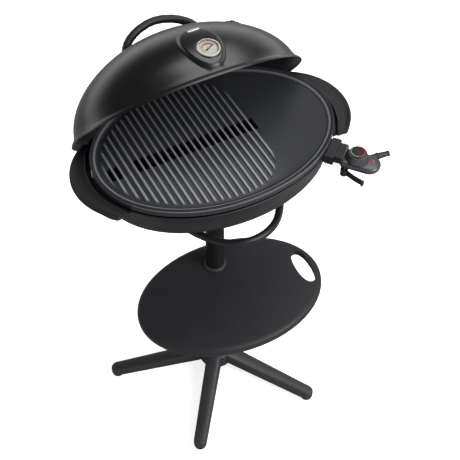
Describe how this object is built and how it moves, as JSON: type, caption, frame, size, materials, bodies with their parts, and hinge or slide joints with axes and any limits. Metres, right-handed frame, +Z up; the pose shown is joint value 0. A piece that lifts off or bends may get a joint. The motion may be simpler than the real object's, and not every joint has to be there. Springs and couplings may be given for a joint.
{
  "type": "electric standing grill",
  "caption": "Electric standing grill: oval ribbed plate over a bowl, hinged dome lid with thermometer and vent, plug-in thermostat, front rail, side table and star base.",
  "frame": {"origin": "on the floor under the pole's axis", "axes": "+X to the grill's right, +Y to its back where the lid is hinged, +Z up"},
  "size_m": [0.6613, 0.5642, 1.0725],
  "materials": {
    "lid_enamel": "satin dark grey enamel",
    "plate_coating": "cast aluminium with a dark grey non-stick coating",
    "bowl_plastic": "fine-grained black moulded plastic",
    "handle_plastic": "matt black moulded plastic",
    "table_plastic": "fine-grained dark grey moulded plastic",
    "base_plastic": "satin black moulded plastic",
    "pole_paint": "satin black powder coat",
    "bracket_paint": "matt black paint",
    "zinc_steel": "zinc-plated steel",
    "bright_steel": "polished stainless steel",
    "contact_brass": "plain brass",
    "element_steel": "heat-stained steel",
    "tray_aluminium": "plain aluminium sheet",
    "plug_plastic": "satin dark grey moulded plastic",
    "cap_plastic": "glossy black plastic",
    "lamp_red": "red lamp lens",
    "dial_white": "printed white dial",
    "needle_black": "matt black",
    "glass": "clear glass",
    "foot_rubber": "matt black rubber"
  },
  "bodies": {
    "root": {"star_base": "base_plastic", "foot_back": "foot_rubber", "foot_right": "foot_rubber", "foot_left": "foot_rubber", "foot_front_right": "foot_rubber", "foot_front_left": "foot_rubber", "base_bolt": "zinc_steel", "lower_pole": "pole_paint", "pole_coupler": "zinc_steel", "table_collar": "base_plastic", "table_flange": "bracket_paint", "table_screws": "zinc_steel", "side_table": "table_plastic", "upper_pole": "pole_paint", "bowl_carrier": "base_plastic", "carrier_bolts": "zinc_steel", "front_rail": "pole_paint", "hinge_brackets": "bracket_paint", "hinge_rod": "zinc_steel", "rod_caps": "cap_plastic", "stop_bar": "bracket_paint", "bowl": "bowl_plastic", "drip_tray": "tray_aluminium", "left_handle": "handle_plastic", "right_handle": "handle_plastic", "handle_screws": "zinc_steel"},
    "plate": {"grill_plate": "plate_coating", "heating_element": "element_steel", "element_clips": "zinc_steel", "socket_shroud": "handle_plastic", "contact_pins": "contact_brass"},
    "plug": {"plug_base": "plug_plastic", "plug_cover": "plug_plastic", "temperature_probe": "bright_steel", "pilot_lamp": "lamp_red", "strain_relief": "handle_plastic", "lever_pin": "zinc_steel"},
    "knob": {"control_knob": "plug_plastic", "knob_cap": "cap_plastic"},
    "lever": {"release_lever": "handle_plastic"},
    "lid": {"lid_shell": "lid_enamel", "lid_arm_left": "bracket_paint", "lid_arm_right": "bracket_paint", "arm_screws": "zinc_steel", "lid_handle": "handle_plastic", "handle_nuts": "zinc_steel", "gauge_case": "bright_steel", "gauge_dial": "dial_white", "gauge_glass": "glass", "gauge_stem": "bright_steel", "gauge_nut": "zinc_steel", "vent_pin": "zinc_steel"},
    "needle": {"gauge_needle": "needle_black"},
    "vent": {"vent_plate": "bracket_paint"}
  },
  "joints": [
    {"name": "lid_hinge", "type": "hinge", "parent": "root", "child": "lid", "pos_m": [0, 0.046, 0.7613], "axis": [-1, 0, 0], "range_deg": [-55.6, 0]},
    {"name": "plate_lift", "type": "slide", "parent": "root", "child": "plate", "axis": [0, 0, 1], "range_m": [0, 0.035]},
    {"name": "plug_pull", "type": "slide", "parent": "plate", "child": "plug", "axis": [0.6442, -0.7649, 0], "range_m": [0, 0.06]},
    {"name": "knob_turn", "type": "hinge", "parent": "plug", "child": "knob", "pos_m": [0.25512, -0.1865, 0.857], "axis": [0, 0, 1], "range_deg": [-270, 0]},
    {"name": "lever_press", "type": "hinge", "parent": "plug", "child": "lever", "pos_m": [0.22515, -0.18429, 0.822], "axis": [0, 0, 1], "range_deg": [0, 10], "stiffness_Nm_per_rad": 0.3},
    {"name": "gauge_sweep", "type": "hinge", "parent": "lid", "child": "needle", "pos_m": [0.024, 0.0677, 1.06007], "axis": [0.0574, -0.1319, 0.9896], "range_deg": [-130, 100]},
    {"name": "vent_turn", "type": "hinge", "parent": "lid", "child": "vent", "pos_m": [0.158, 0.21398, 0.97449], "axis": [0.4329, 0.6425, 0.6323], "range_deg": [0, 45]}
  ]
}
